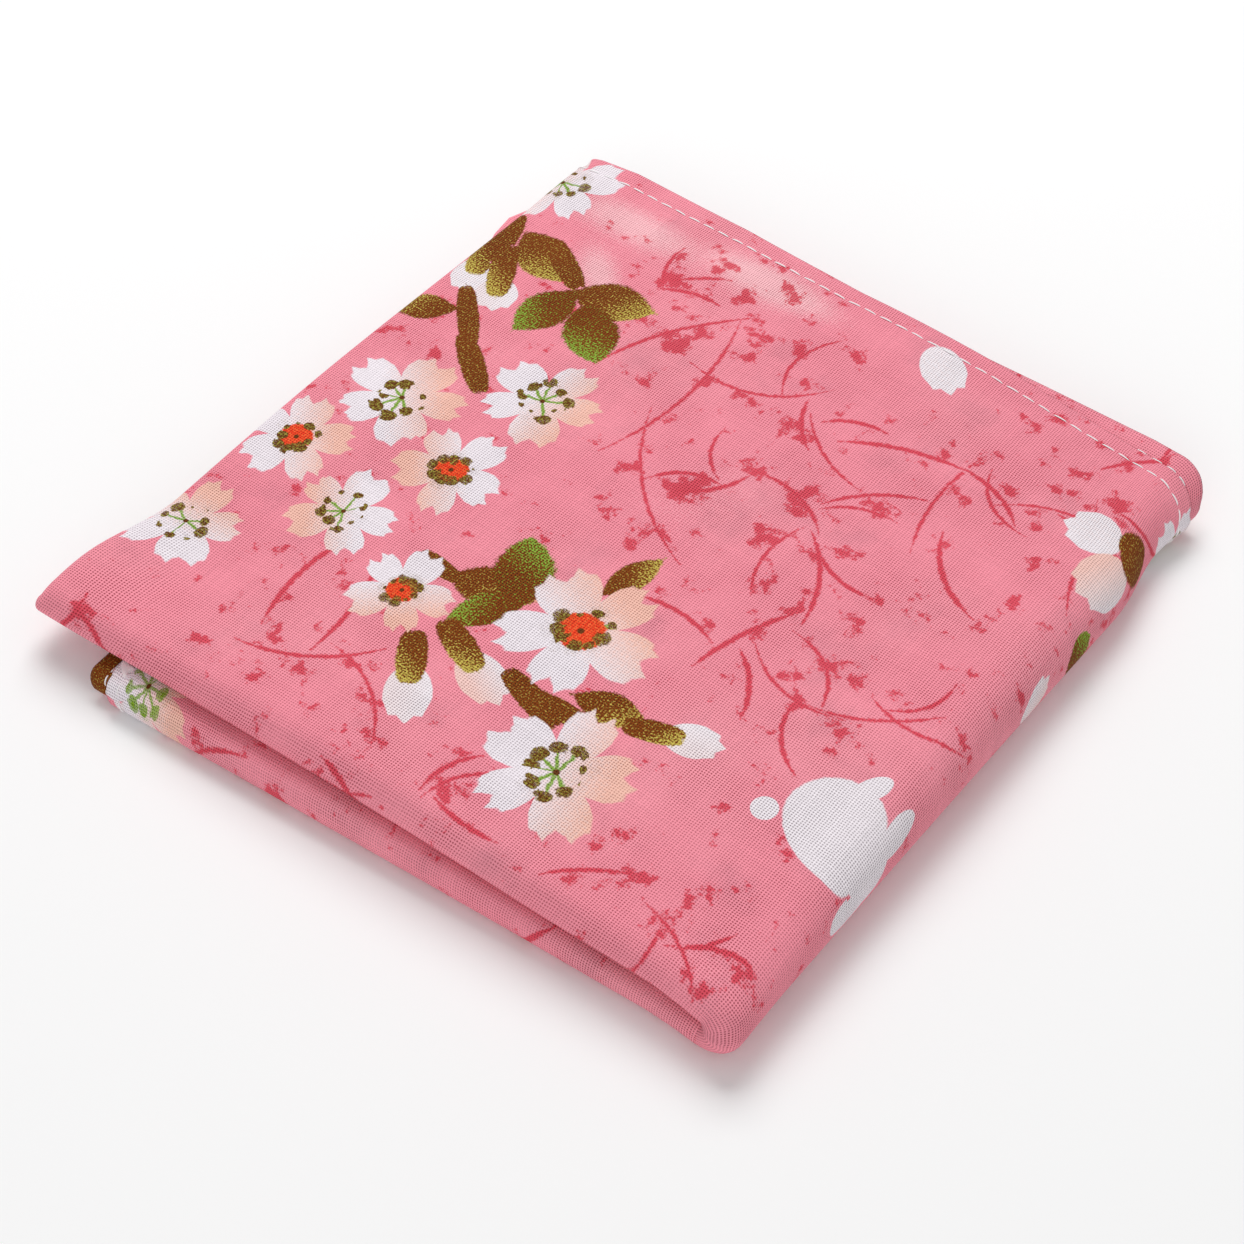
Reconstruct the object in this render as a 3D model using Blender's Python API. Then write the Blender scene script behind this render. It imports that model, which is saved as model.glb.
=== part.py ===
"""A folded furoshiki: one square of printed cotton, folded in half four times into a pad.

Metres, +Z up. The pad lies on z = 0 with its origin under its middle. The two sides with the
wide folds face -Y and +X, and the sides where the hems lie open face +Y and -X.

The cloth is built as it is folded: a flat sheet is drawn as a grid, and each fold turns one
part of it over on top of the rest. The first fold lays the cloth double. Both of its plies
lie together as one sheet here, so the solid is that double cloth after three more folds.
"""

import math

import bpy
import numpy as np

# The cloth, as cut and hemmed.
CLOTH_SIDE = 0.500
PANEL = CLOTH_SIDE / 4

# One layer of the solid is the cloth laid double, and layers lie a little apart.
LAYER = 0.00120
GAP = 0.00040
HEM_WIDTH = 0.006
EDGE_WAVER = 0.0007

# How far each fold lies from a true halving.
SECOND_FOLD_SHIFT = -0.0013
THIRD_FOLD_SHIFT = 0.0006
LAST_FOLD_SHIFT = -0.0025

# Grid steps along a flat stretch of a panel, and round each fold.
FLAT_STEPS = 9
SMALL_FOLD_STEPS = 6
MIDDLE_FOLD_STEPS = 8
WIDE_FOLD_STEPS = 10

# How far the layers slipped as the pad was put down, in mm along x and y, at each corner.
# height is a share of the stack. The corners are named as the photograph shows them:
# left is -x -y, near is +x -y, right is +x +y and far is -x +y.
CORNERS = {"left": (-1, -1), "near": (1, -1), "right": (1, 1), "far": (-1, 1)}
SLIPS = [
    {"height": 0.00, "left": (7.5, -6.2), "near": (-1.6, 2.7), "right": (0.0, -2.0), "far": (-1.0, -0.5)},
    {"height": 0.48, "left": (5.2, -5.7), "near": (-1.6, 2.4), "right": (-1.4, 0.2), "far": (-1.0, 0.0)},
    {"height": 0.52, "left": (-3.5, -2.0), "near": (-1.4, 2.8), "right": (-1.6, 0.4), "far": (0.0, 1.0)},
    {"height": 0.74, "left": (-2.8, -1.3), "near": (-1.0, 4.0), "right": (-2.0, 2.0), "far": (-2.0, 1.3)},
    {"height": 0.78, "left": (-2.6, -1.1), "near": (-0.8, 4.2), "right": (-2.0, 2.2), "far": (1.2, 1.2)},
    {"height": 1.00, "left": (-1.6, -0.3), "near": (-0.5, 5.0), "right": (-2.0, 3.3), "far": (1.2, 1.7)},
]

# How much thinner the pad is pressed at each corner, fading out towards its middle, and
# how much its top swells and dips between them.
THINNED = {"left": 0.15, "near": 0.16, "right": 0.12, "far": 0.10}
SWELL = 0.02

CLOTH_PINK = (0.87, 0.28, 0.33, 1.0)


def fold(points, across, line, towards, height):
    """Turns the part of a stack that lies past a line over on top of the rest.

    The stack is height thick from z = 0, across is the axis that the line cuts, and towards
    is +1 or -1, the side that turns over. The cloth goes round half a circle whose middle
    lies half a gap above the stack. Lengths are kept on the outer face of the bend.
    """
    outer = height + GAP / 2
    bend = math.pi * outer
    past = (points[:, across] - line) * towards
    radius = outer - points[:, 2]
    angle = np.clip(past / outer, 0.0, math.pi)
    before = np.minimum(past, 0.0)
    beyond = np.clip(past - bend, 0.0, None)
    folded = points.copy()
    folded[:, across] = line + (before + radius * np.sin(angle) - beyond) * towards
    folded[:, 2] = outer - radius * np.cos(angle)
    return folded


def stations(stops):
    """Grid positions along one side of the sheet, from (position, steps to it) pairs."""
    places = [stops[0][0]]
    for (start, _), (end, steps) in zip(stops, stops[1:]):
        places.extend(start + (end - start) * step / steps for step in range(1, steps + 1))
    return np.array(places)


def sheet_of(xs, ys):
    """The flat sheet's grid, its lower face and then its upper one.

    Its hemmed edges waver a little in the plane of the cloth. The waver fades out over a
    quarter of a panel, and the edge at y = 0, which is the first fold, stays straight.
    """
    x, y = (grid.ravel() for grid in np.meshgrid(xs, ys, indexing="ij"))
    fade = PANEL / 4
    near_start = np.clip(1.0 - (x - xs[0]) / fade, 0.0, 1.0)
    near_end = np.clip(1.0 - (xs[-1] - x) / fade, 0.0, 1.0)
    near_top = np.clip(1.0 - (ys[-1] - y) / fade, 0.0, 1.0)
    waver_x = (near_start + near_end) * np.sin(x * 9.0 + y / 0.021)
    waver_y = near_top * (np.sin(x / 0.034) + 0.5 * np.sin(x / 0.013 + 1.0))
    x = x + EDGE_WAVER * waver_x
    y = y + EDGE_WAVER * waver_y
    lower = np.stack([x, y, np.zeros_like(x)], 1)
    upper = lower + np.array([0.0, 0.0, LAYER])
    return np.concatenate([lower, upper])


def faces_of(columns, rows):
    """Quads of both faces and of the rim between them, pointing outwards."""
    index = np.arange(columns * rows).reshape(columns, rows)
    a, b = index[:-1, :-1].ravel(), index[1:, :-1].ravel()
    c, d = index[1:, 1:].ravel(), index[:-1, 1:].ravel()
    above = columns * rows
    lower = np.stack([a, d, c, b], 1)
    upper = np.stack([a, b, c, d], 1) + above
    loop = np.concatenate([index[:-1, 0], index[-1, :-1], index[:0:-1, -1], index[0, :0:-1]])
    after = np.roll(loop, -1)
    rim = np.stack([loop, after, after + above, loop + above], 1)
    return np.concatenate([lower, upper, rim]).tolist()


def centred(points):
    """The points with the middle of their footprint at the origin, and half their spans."""
    low, high = points.min(0), points.max(0)
    points = points - np.array([(low[0] + high[0]) / 2, (low[1] + high[1]) / 2, 0.0])
    return points, (high - low)[:2] / 2


def slipped(points):
    """Slips the layers along each other in the plane, by what SLIPS gives for the corners."""
    points, half = centred(points)
    level = points[:, 2] / points[:, 2].max()
    heights = [row["height"] for row in SLIPS]
    moved = points.copy()
    for corner, sides in CORNERS.items():
        weight = np.prod(1 + points[:, :2] / half * sides, axis=1) / 4
        for axis in (0, 1):
            slip = np.interp(level, heights, [row[corner][axis] for row in SLIPS])
            moved[:, axis] += weight * slip / 1000
    return moved


def pressed(points):
    """Thins the pad at its corners and lets its top swell, with the underside left flat."""
    points, half = centred(points)
    share = points[:, :2] / half
    thickness = 1 + SWELL * np.sin(2.3 * share[:, 0] + 0.8) * np.sin(2.9 * share[:, 1] - 0.5)
    for corner, sides in CORNERS.items():
        away = np.hypot(share[:, 0] - sides[0], share[:, 1] - sides[1])
        close = np.clip(1.0 - away, 0.0, 1.0)
        thickness -= THINNED[corner] * close * close * (3 - 2 * close)
    points[:, 2] *= thickness
    return points


def folded_cloth():
    """Vertices and faces of the folded cloth."""
    stack_one = LAYER
    stack_two = 2 * LAYER + GAP
    stack_four = 4 * LAYER + 3 * GAP
    small_bend = math.pi * (stack_one + GAP / 2)
    middle_bend = math.pi * (stack_two + GAP / 2)
    wide_bend = math.pi * (stack_four + GAP / 2)

    # Along X the sheet is four panels: the second fold halves it and the last halves it
    # again. Both of its halves need grid lines where the last fold will bend them.
    second_line = 2 * PANEL - small_bend / 2 + SECOND_FOLD_SHIFT
    last_line = PANEL - wide_bend / 2 + LAST_FOLD_SHIFT
    mirrored = 2 * second_line + small_bend
    xs = stations(
        [
            (0.0, 0),
            (HEM_WIDTH, 1),
            (last_line, FLAT_STEPS),
            (last_line + wide_bend, WIDE_FOLD_STEPS),
            (second_line, FLAT_STEPS),
            (second_line + small_bend, SMALL_FOLD_STEPS),
            (mirrored - last_line - wide_bend, FLAT_STEPS),
            (mirrored - last_line, WIDE_FOLD_STEPS),
            (CLOTH_SIDE - HEM_WIDTH, FLAT_STEPS),
            (CLOTH_SIDE, 1),
        ]
    )
    # Along Y it is two panels, because the first fold has laid the cloth double.
    third_line = PANEL + middle_bend / 2 + THIRD_FOLD_SHIFT
    ys = stations(
        [
            (0.0, 0),
            (third_line - middle_bend, FLAT_STEPS),
            (third_line, MIDDLE_FOLD_STEPS),
            (2 * PANEL - HEM_WIDTH, FLAT_STEPS),
            (2 * PANEL, 1),
        ]
    )

    points = sheet_of(xs, ys)
    points = fold(points, 0, second_line, 1, stack_one)
    points = fold(points, 1, third_line, -1, stack_two)
    points = fold(points, 0, last_line, 1, stack_four)
    points = pressed(slipped(points))
    return points, faces_of(len(xs), len(ys))


def printed_cotton():
    """Plain-woven cotton printed pink: matt, with no metal."""
    material = bpy.data.materials.new("printed_cotton")
    material.use_nodes = True
    shader = material.node_tree.nodes["Principled BSDF"]
    shader.inputs["Base Color"].default_value = CLOTH_PINK
    shader.inputs["Roughness"].default_value = 0.85
    shader.inputs["Metallic"].default_value = 0.0
    return material


def main():
    for old in list(bpy.data.objects):
        bpy.data.objects.remove(old)
    points, faces = folded_cloth()
    mesh = bpy.data.meshes.new("cloth")
    mesh.from_pydata(points.tolist(), [], faces)
    mesh.validate()
    mesh.shade_smooth()
    mesh.materials.append(printed_cotton())
    cloth = bpy.data.objects.new("cloth", mesh)
    bpy.context.scene.collection.objects.link(cloth)


main()
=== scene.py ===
"""The looks of the folded furoshiki: its thin hemmed cloth, its print and its sewing thread."""

import math

import bpy
import numpy as np
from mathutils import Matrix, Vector


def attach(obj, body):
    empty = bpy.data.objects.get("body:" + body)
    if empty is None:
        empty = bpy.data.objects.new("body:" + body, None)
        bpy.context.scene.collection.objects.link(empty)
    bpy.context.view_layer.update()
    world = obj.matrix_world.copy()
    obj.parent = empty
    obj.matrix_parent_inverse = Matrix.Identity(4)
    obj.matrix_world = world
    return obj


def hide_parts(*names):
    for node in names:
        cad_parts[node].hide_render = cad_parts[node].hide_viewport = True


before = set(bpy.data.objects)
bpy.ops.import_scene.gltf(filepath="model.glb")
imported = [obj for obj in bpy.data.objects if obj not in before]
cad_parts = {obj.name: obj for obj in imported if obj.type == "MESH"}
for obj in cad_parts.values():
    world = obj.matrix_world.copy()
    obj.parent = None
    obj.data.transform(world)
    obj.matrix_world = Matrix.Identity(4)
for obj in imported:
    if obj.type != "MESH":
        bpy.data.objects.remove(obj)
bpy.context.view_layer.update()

# Sizes in metres, as in the solid. The cloth's flat x runs from 0 to CLOTH_SIDE. Its flat y
# runs from -HALF_SIDE to HALF_SIDE, and the first fold lies at y = 0.
CLOTH_SIDE = 0.500
HALF_SIDE = CLOTH_SIDE / 2
PANEL = CLOTH_SIDE / 4
DOUBLE = 0.00120
GAP = 0.00040
PLY = 0.00030
EDGE_WAVER = 0.0007
SECOND_FOLD_SHIFT = -0.0013
THIRD_FOLD_SHIFT = 0.0006
LAST_FOLD_SHIFT = -0.0025
# How square the third and the last fold are, and the power that keeps grid steps even there.
THIRD_FOLD_SQUARE, LAST_FOLD_SQUARE = 0.65, 1.2
STEP_POWER = 0.7

# The narrow hem: turned under, so it is three plies thick, and sewn near its inner edge.
HEM_WIDTH = 0.0042
HEM_FULLNESS = 0.00018
STITCH_INSET = 0.0030
STITCH_PITCH = 0.0030
STITCH_LENGTH = 0.0025
THREAD_WIDTH = 0.00026
THREAD_HEIGHT = 0.00022
PUCKER, PUCKER_REACH, PUCKER_WAVE = 0.00010, 0.0009, 0.0017
STITCH_RISE, STITCH_SINK, STITCH_LEAN = 0.00010, 0.00006, 0.06
HEM_SLOPE, BEHIND_EDGE = 0.0012, 0.0006

# The grid's steps, in mm, on the plain cloth, and the band along the hem with finer ones.
PLAIN_STEP = 4.5
HEM_BAND = HEM_WIDTH + 0.001

# How far the layers slipped, in mm along x and y, at each corner. height is a share of the
# stack, and the corners are named as the photograph shows them.
CORNERS = {"left": (-1, -1), "near": (1, -1), "right": (1, 1), "far": (-1, 1)}
SLIP_COLUMNS = ("height", "left", "near", "right", "far")
SLIPS = [
    (0.00, (7.5, -6.2), (-1.6, 3.4), (0.0, -2.0), (-1.0, -0.5)),
    (0.48, (5.2, -5.7), (-1.3, 3.1), (-1.1, 0.2), (-1.0, 0.0)),
    (0.52, (-3.0, -2.0), (-1.1, 2.8), (-1.3, 0.4), (0.0, 1.0)),
    (0.74, (-2.0, -1.3), (-0.7, 4.0), (-1.7, 2.0), (-2.2, 1.3)),
    (0.78, (-1.6, -1.1), (-0.5, 4.2), (-1.7, 2.2), (-0.8, 0.5)),
    (1.00, (-0.6, -0.3), (-0.2, 5.0), (-1.7, 3.3), (-1.2, 0.9)),
]
# How far the whole pad then lies from the origin, in metres.
PAD_SHIFT = np.array([0.0022, 0.0014])

# How much thinner the pad is pressed at each corner, and how much its top swells and dips.
THINNED = {"left": 0.15, "near": 0.16, "right": 0.20, "far": 0.10}
SWELL = 0.02

# How round each corner of the pad is in plan, in metres.
ROUNDED = {"left": 0.0005, "near": 0.0010, "right": 0.0015, "far": 0.0030}

# Local pulls in the plane, in mm: where in plan, over what distance they fade out, how far,
# and between which shares of the stack's height. The left corner of the top fold was drawn
# out to a point, and so was the near corner of the whole pad.
PULLS = [
    {"at": (-60, -63), "reach": 22, "by": (-3.1, -0.6), "levels": (0.5, 1.1)},
    {"at": (-60, -50), "reach": 14, "by": (-2.1, 0.2), "levels": (0.5, 1.1)},
    {"at": (-60, 43), "reach": 9, "by": (-2.6, 0.0), "levels": (0.5, 0.76)},
    {"at": (60, -64), "reach": 15, "by": (0.4, -1.3), "levels": (-0.1, 1.1)},
    {"at": (60, 52), "reach": 16, "by": (-2.1, -0.3), "levels": (-0.1, 1.1)},
]

# The groove between the two wide folds gapes by the near corner: where, over what share of
# the half span, and how far each side of it moves, in metres.
GAPE_AT, GAPE_REACH, GAPE = (0.76, -1.0), 0.34, 0.0011

# Soft creases in the pad, in mm in plan. rise is how far the top stands up or sinks.
CREASE_COLUMNS = ("x", "y", "heading", "length", "width", "rise")
CREASES = [
    (-30, 54, 0, 56, 4.5, 0.45),
    (-28, 46, -3, 60, 5.0, -0.25),
    (-42, -38, 48, 40, 6.0, -0.35),
    (-20, -52, 5, 50, 5.0, 0.30),
    (30, -46, -35, 46, 6.0, -0.30),
    (50, 10, 90, 80, 5.0, 0.25),
    (38, 46, 30, 40, 5.0, -0.30),
    (5, 5, 70, 60, 9.0, -0.20),
    (-5, -20, 15, 50, 8.0, 0.20),
]

# How far the hems of the two plies run out past their true line, in mm, along the cloth.
# ply_a is the ply with y above 0. The plies under the top one fan out at the right corner.
HEM_RUNS = {
    "x": (0, 60, 117, 128, 138, 150, 165, 191, 215, 238, 250, 262, 310, 355, 383, 440, 500),
    "ply_a": (0, 0, -1.2, -1.5, -1.3, -0.8, -0.3, -0.3, 1.2, 1.2, -0.5, 0.0, -0.4, 0.6, 1.4, 0.2, 0),
    "ply_b": (0, 0, 1.0, 2.2, 2.3, 1.5, 0.5, -0.6, 0.8, 0.8, -0.5, 0.0, -0.2, 1.0, 2.4, 0.2, 0),
}
# In the lower wide fold the outer ply's end stops short of the one inside it, and so does
# the cloth's other end, which lies inside both.
SHORT_END, OTHER_END, SHORT_END_MIDDLE, SHORT_END_REACH = 0.0050, 0.0030, 0.118, 0.020

STACK_ONE = DOUBLE
STACK_TWO = 2 * DOUBLE + GAP
STACK_FOUR = 4 * DOUBLE + 3 * GAP
STACK_HEIGHT = 8 * DOUBLE + 7 * GAP
SMALL_BEND = math.pi * (STACK_ONE + GAP / 2)
MIDDLE_BEND = math.pi * (STACK_TWO + GAP / 2)
WIDE_BEND = math.pi * (STACK_FOUR + GAP / 2)
FIRST_LINE = DOUBLE / 2
FIRST_BEND = math.pi * DOUBLE / 2
SECOND_LINE = 2 * PANEL - SMALL_BEND / 2 + SECOND_FOLD_SHIFT
THIRD_LINE = PANEL + MIDDLE_BEND / 2 + THIRD_FOLD_SHIFT
LAST_LINE = PANEL - WIDE_BEND / 2 + LAST_FOLD_SHIFT

# The print, in mm on the flat cloth, and its repeat: a half-drop kind, in which each column
# of the pattern stands DROP higher than the one before. What lies short of FIRST_REPEAT is
# outside the repeat and is printed once. Headings are in degrees.
REPEAT_X, REPEAT_Y, DROP = 190.0, 145.0, 13.0
FIRST_REPEAT = 100.0

# Cherry blossoms, in clusters. The first of a cluster stands at its place. Each other one
# stands off the one whose number in the cluster is given, on a heading, with a gap between
# their outlines, which is below 0 where petals overlap. petal and blush are the headings of
# one petal and of the peach side, and heart is 0 for brown anthers, 1 for a red middle and 2
# for green anthers.
BLOSSOM_COLUMNS = ("off", "way", "gap", "width", "petal", "blush", "heart")
CLUSTERS = {
    (234, 187): [
        (0, 0, 0, 20, 160, 140, 0),
        (0, 145, 2, 19, 170, 180, 0),
        (0, -65, -1.5, 18, 75, 145, 1),
        (0, -155, -1.5, 18, -35, -40, 1),
        (3, -65, 0, 17, -55, -35, 0),
        (4, -40, 6, 17, 85, 85, 0),
    ],
    (183, 166): [
        (0, 0, 0, 24, 110, 115, 1),
        (0, -20, 7, 16, -125, -130, 1),
        (0, -120, 2, 23, 155, 165, 0),
    ],
    (276, 176): [
        (0, 0, 0, 22, 20, 60, 1),
        (0, 40, 3, 18, -50, -30, 0),
        (0, 105, 12, 19, 95, 80, 0),
        (2, 40, 20, 17, 140, 120, 1),
    ],
    (247, 242): [(0, 0, 0, 19, 70, 0, 0)],
    (117, 246): [(0, 0, 0, 17, 40, 150, 0)],
    (9, 121): [(0, 0, 0, 21, 100, 0, 2)],
}

# Leaves, as x, y, heading, length, width, belly and tone, from the place where each springs
# off its twig. belly is high for a leaf's pointed ends, and tone is 0 for brown, 1 for a gold
# tip and 2 for a green one.
LEAVES = [
    (229, 222, 165, 15, 9, 0.9, 1),
    (228, 223, -80, 14, 8, 0.8, 2),
    (225, 221, -135, 14, 9, 0.6, 2),
    (244, 229, -155, 14, 9, 0.7, 1),
    (240, 208, -30, 12, 6, 0.9, 1),
    (205, 163, 165, 14, 8, 0.8, 1),
    (193, 164, 60, 14, 9, 0.6, 2),
    (193, 167, -60, 13, 6, 0.6, 2),
    (185, 173, 105, 12, 5, 0.9, 1),
    (177, 156, 170, 12, 6, 0.9, 1),
    (124, 234, -45, 8, 8, 0.3, 0),
    (119, 212, 15, 7, 6, 0.3, 2),
    (282, 172, -20, 13, 8, 0.6, 1),
    (282, 168, -70, 12, 8, 0.4, 2),
    (283, 203, 20, 14, 8, 0.6, 1),
    (286, 209, 110, 13, 7, 0.5, 2),
    (-2, -128, 80, 18, 14, 0.3, 0),
]

# Twigs, as x and y of both ends and the width.
TWIGS = [
    (248, 232, 244, 220, 5),
    (239, 230, 228, 223, 4),
    (243, 213, 233, 202, 3.5),
    (236, 204, 225, 195, 4),
    (211, 164, 203, 163, 3),
    (187, 154, 175, 150, 4),
    (183, 152, 173, 153, 4),
    (279, 188, 283, 204, 4.5),
]

# Buds on their cups, as x and y of the cup's foot, heading, the cup's length, and the bud's
# length, width and blush, which is how peach it is. A bud stands in its cup by a share of it,
# and a cup is narrower than its bud.
CUP_OVERLAP, CUP_WIDTH = 0.65, 0.65
BUDS = [
    (248, 227, -110, 12, 9, 7, 0.0),
    (244, 225, -120, 13, 8, 7, 0.2),
    (202, 152, -125, 10, 11, 7, 0.2),
    (200, 156, -155, 11, 11, 7, 0.8),
    (168, 156, 160, 9, 9, 6, 0.2),
]

# Single petals, as x and y of their middles, heading, length, width and blush.
PETALS = [
    (171, 243, -135, 11, 7.5, 0.0),
    (135, 229, -10, 10, 9, 0.0),
    (129, 222, -70, 12, 9, 0.9),
    (123, 201, 60, 8, 5, 0.4),
]

# A plump white rabbit seen from behind, as ovals round its middle: body, haunch, rump, tail,
# two ears and a foot, each as x, y, heading, length and width.
RABBIT_AT = (132, 159)
RABBIT = [
    (3, 1, 180, 15, 14),
    (-3, -1, 180, 14, 10),
    (2, -4, -160, 15, 7),
    (12, -3, -35, 4, 4),
    (2, 8, 115, 7, 3.5),
    (-5, 6, 85, 9, 4),
    (-8, -6, -80, 9, 5),
]

# Paler patches in the ground colour, with no edge, near one hem.
HAZE_COLUMNS = ("x", "y", "length", "width", "heading")
HAZES = [
    (230, 240, 30, 9, 0),
    (204, 242, 30, 8, 0),
    (228, 228, 16, 8, 40),
]

# Sprays of the printed paper's red fibres: where the blades fork, and the stem's heading,
# length and number of blades. The blades grow by a rule, so none follows a certain line.
SPRAY_COLUMNS = ("x", "y", "heading", "length", "blades")
SPRAYS = [
    (203, 233, -90, 37, 4),
    (182, 222, -150, 18, 4),
    (168, 202, -120, 19, 5),
    (156, 232, -95, 25, 6),
    (138, 236, -140, 22, 5),
    (160, 188, -70, 19, 4),
    (150, 174, 150, 20, 5),
    (190, 196, 130, 13, 3),
    (219, 232, 145, 12, 3),
    (222, 136, 150, 22, 4),
    (243, 128, -145, 13, 3),
    (198, 127, -150, 12, 3),
    (182, 129, 130, 14, 3),
    (148, 134, -150, 16, 5),
    (264, 148, 60, 20, 4),
    (298, 190, 90, 22, 4),
    (278, 232, -150, 20, 4),
]
FIBRE_SEED = 8

# What each leaf, oval and fibre is worked out as, before it is put on the cloth.
LEAF_PATCH = ("x", "y", "length", "width", "heading", "belly", "tone")
OVAL_PATCH = ("x", "y", "length", "width", "heading", "blush", "notched")
FIBRE_COLUMNS = ("x", "y", "length", "heading", "bow", "width")

# A petal's outline, from its middle to the gap beside it: share of the way, and radius.
PETAL_SHAPE = [
    (0.0, 0.84),
    (0.16, 0.92),
    (0.24, 1.03),
    (0.40, 0.93),
    (0.58, 0.92),
    (0.80, 0.74),
    (1.0, 0.48),
]

# The noises of the print: patches per mm, detail and roughness. The dye's bleed, the waver
# of edges and the stipple are noises less their middle.
NOISES = {
    "grain": (2.4, 2.0, 0.7),
    "fine": (3.0, 1.0, 0.5),
    "ragged": (1.1, 3.0, 0.6),
    "blots": (0.20, 7.0, 0.62),
    "crowds": (0.028, 1.0, 0.5),
    "clouds": (0.035, 2.0, 0.5),
}
CENTRED = {"bleed": "grain", "waver": "ragged", "stipple": "fine"}

# Distance between threads, in mm. The real cotton has about 0.42 by 0.35 mm, which is drawn
# a little coarser here so that the render can show it.
WARP_PITCH, WEFT_PITCH = 0.44, 0.40

# The view: the angles, distance and lens that fit the photographed outline.
CAMERA = {
    "azimuth": 38.3,
    "elevation": 50.2,
    "distance": 0.4060,
    "aim": (0.0027, -0.0058, 0.0),
    "lens": 78.1,
}
FLOOR_HALF = 3.0
SKY_STRENGTH = 0.45


def rows_of(columns, table):
    """A table's rows, each as a dictionary by column name."""
    return [dict(zip(columns, cells)) for cells in table]


def eased(share):
    """A share from 0 to 1 with level ends: three times its square less twice its cube."""
    share = np.clip(share, 0, 1)
    return share * share * (3 - 2 * share)


def nearness(off, reach):
    """1 at no offset in plan, easing to 0 at the reach."""
    return eased(1 - np.hypot(off[:, 0], off[:, 1]) / reach)


def fold(points, across, line, towards, height, gap=GAP, square=1.0):
    """Turns the part of a stack that lies past a line over on top of the rest.

    A point at depth d past the line goes round a half circle whose middle lies half a gap
    above the stack: its angle follows d over the outer radius, and its own radius is what is
    left of the outer radius above its height. Past the half circle it lies flat and upside down.
    square is a power of the sine that shapes the half circle: below 1 it flattens its front,
    and above 1 it draws it to a narrower nose. A power of its inverse, on the shares before
    and behind a point, keeps the steps round the fold even.
    """
    outer = height + gap / 2
    past = (points[:, across] - line) * towards
    radius = outer - points[:, 2]
    share = np.clip(past / outer / math.pi, 0.0, 1.0)
    power = (1 / square) ** STEP_POWER
    ahead, behind = share**power, (1 - share) ** power
    angle = math.pi * ahead / (ahead + behind)
    before = np.minimum(past, 0.0)
    beyond = np.clip(past - math.pi * outer, 0.0, None)
    folded = points.copy()
    front = radius * np.abs(np.sin(angle)) ** square
    folded[:, across] = line + (before + front - beyond) * towards
    folded[:, 2] = outer - radius * np.cos(angle)
    return folded


def stack_frame():
    """The folded stack's middle and half spans before its layers slip."""
    right = LAST_LINE + STACK_FOUR + GAP / 2
    turned = 2 * LAST_LINE + WIDE_BEND - SECOND_LINE - STACK_ONE - GAP / 2
    end = 2 * SECOND_LINE + SMALL_BEND - CLOTH_SIDE
    left = min(turned, end, 0.0)
    front = THIRD_LINE - STACK_TWO - GAP / 2
    back = 2 * PANEL
    middle = np.array([(left + right) / 2, (front + back) / 2])
    half = np.array([(right - left) / 2, (back - front) / 2])
    return middle, half


STACK_MIDDLE, STACK_HALF = stack_frame()


def rounded(plan):
    """Rounds the pad's corners: a square at each corner is drawn in to a quarter of a disc.

    A place in that square keeps its direction from the square's inner corner, and its larger
    side becomes its distance from there.
    """
    for corner, sides in CORNERS.items():
        into = plan * sides - (STACK_HALF - ROUNDED[corner])
        far = np.hypot(into[:, 0], into[:, 1])
        inside = (into > 0).all(axis=1) & (far > 0)
        shrink = np.where(inside, into.max(axis=1) / np.where(inside, far, 1.0), 1.0) - 1.0
        plan = plan + into * shrink[:, None] * sides
    return plan


def slipped(points):
    """Slips the layers along each other: each corner's slip, weighted by nearness to it."""
    points = points.copy()
    points[:, :2] = rounded(points[:, :2] - STACK_MIDDLE)
    level = points[:, 2] / STACK_HEIGHT
    slips = rows_of(SLIP_COLUMNS, SLIPS)
    heights = [row["height"] for row in slips]
    moved = points.copy()
    for corner, sides in CORNERS.items():
        weight = np.prod(1 + points[:, :2] / STACK_HALF * sides, axis=1) / 4
        for axis in (0, 1):
            slip = np.interp(level, heights, [row[corner][axis] for row in slips])
            moved[:, axis] += weight * slip / 1000
    for pull in PULLS:
        low, high = pull["levels"]
        close = nearness(points[:, :2] * 1000 - pull["at"], pull["reach"])
        close = close * (level > low) * (level < high)
        moved[:, :2] += close[:, None] * np.array(pull["by"]) / 1000
    moved[:, :2] += PAD_SHIFT
    return moved


def creased(plan):
    """The rise of the pad's top: for each crease a bell across it, fading past its ends."""
    rise = np.zeros(len(plan))
    for row in rows_of(CREASE_COLUMNS, CREASES):
        turn = math.radians(row["heading"])
        off = plan * 1000 - (row["x"], row["y"])
        along = (off[:, 0] * math.cos(turn) + off[:, 1] * math.sin(turn)) * 2 / row["length"]
        across = (off[:, 1] * math.cos(turn) - off[:, 0] * math.sin(turn)) / row["width"]
        rise += row["rise"] / 1000 * np.exp(-across * across - along**4)
    return rise


def gaping(points):
    """Opens the groove: heights move away from mid height, most beside it and none outside."""
    close = nearness(points[:, :2] / STACK_HALF - GAPE_AT, GAPE_REACH)
    side = points[:, 2] / STACK_HEIGHT * 2 - 1
    return GAPE * close * np.sign(side) * np.clip(1 - np.abs(side), 0, 1)


def pressed(points):
    """Thins the pad at its corners and lets its top swell and crease, by one factor on every
    height, after its groove has been opened."""
    points[:, 2] += gaping(points)
    share = points[:, :2] / STACK_HALF
    thickness = 1 + SWELL * np.sin(2.3 * share[:, 0] + 0.8) * np.sin(2.9 * share[:, 1] - 0.5)
    for corner, sides in CORNERS.items():
        thickness -= THINNED[corner] * nearness(share - sides, 1.0)
    thickness += creased(points[:, :2]) / STACK_HEIGHT
    points[:, 2] *= thickness
    return points


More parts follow.
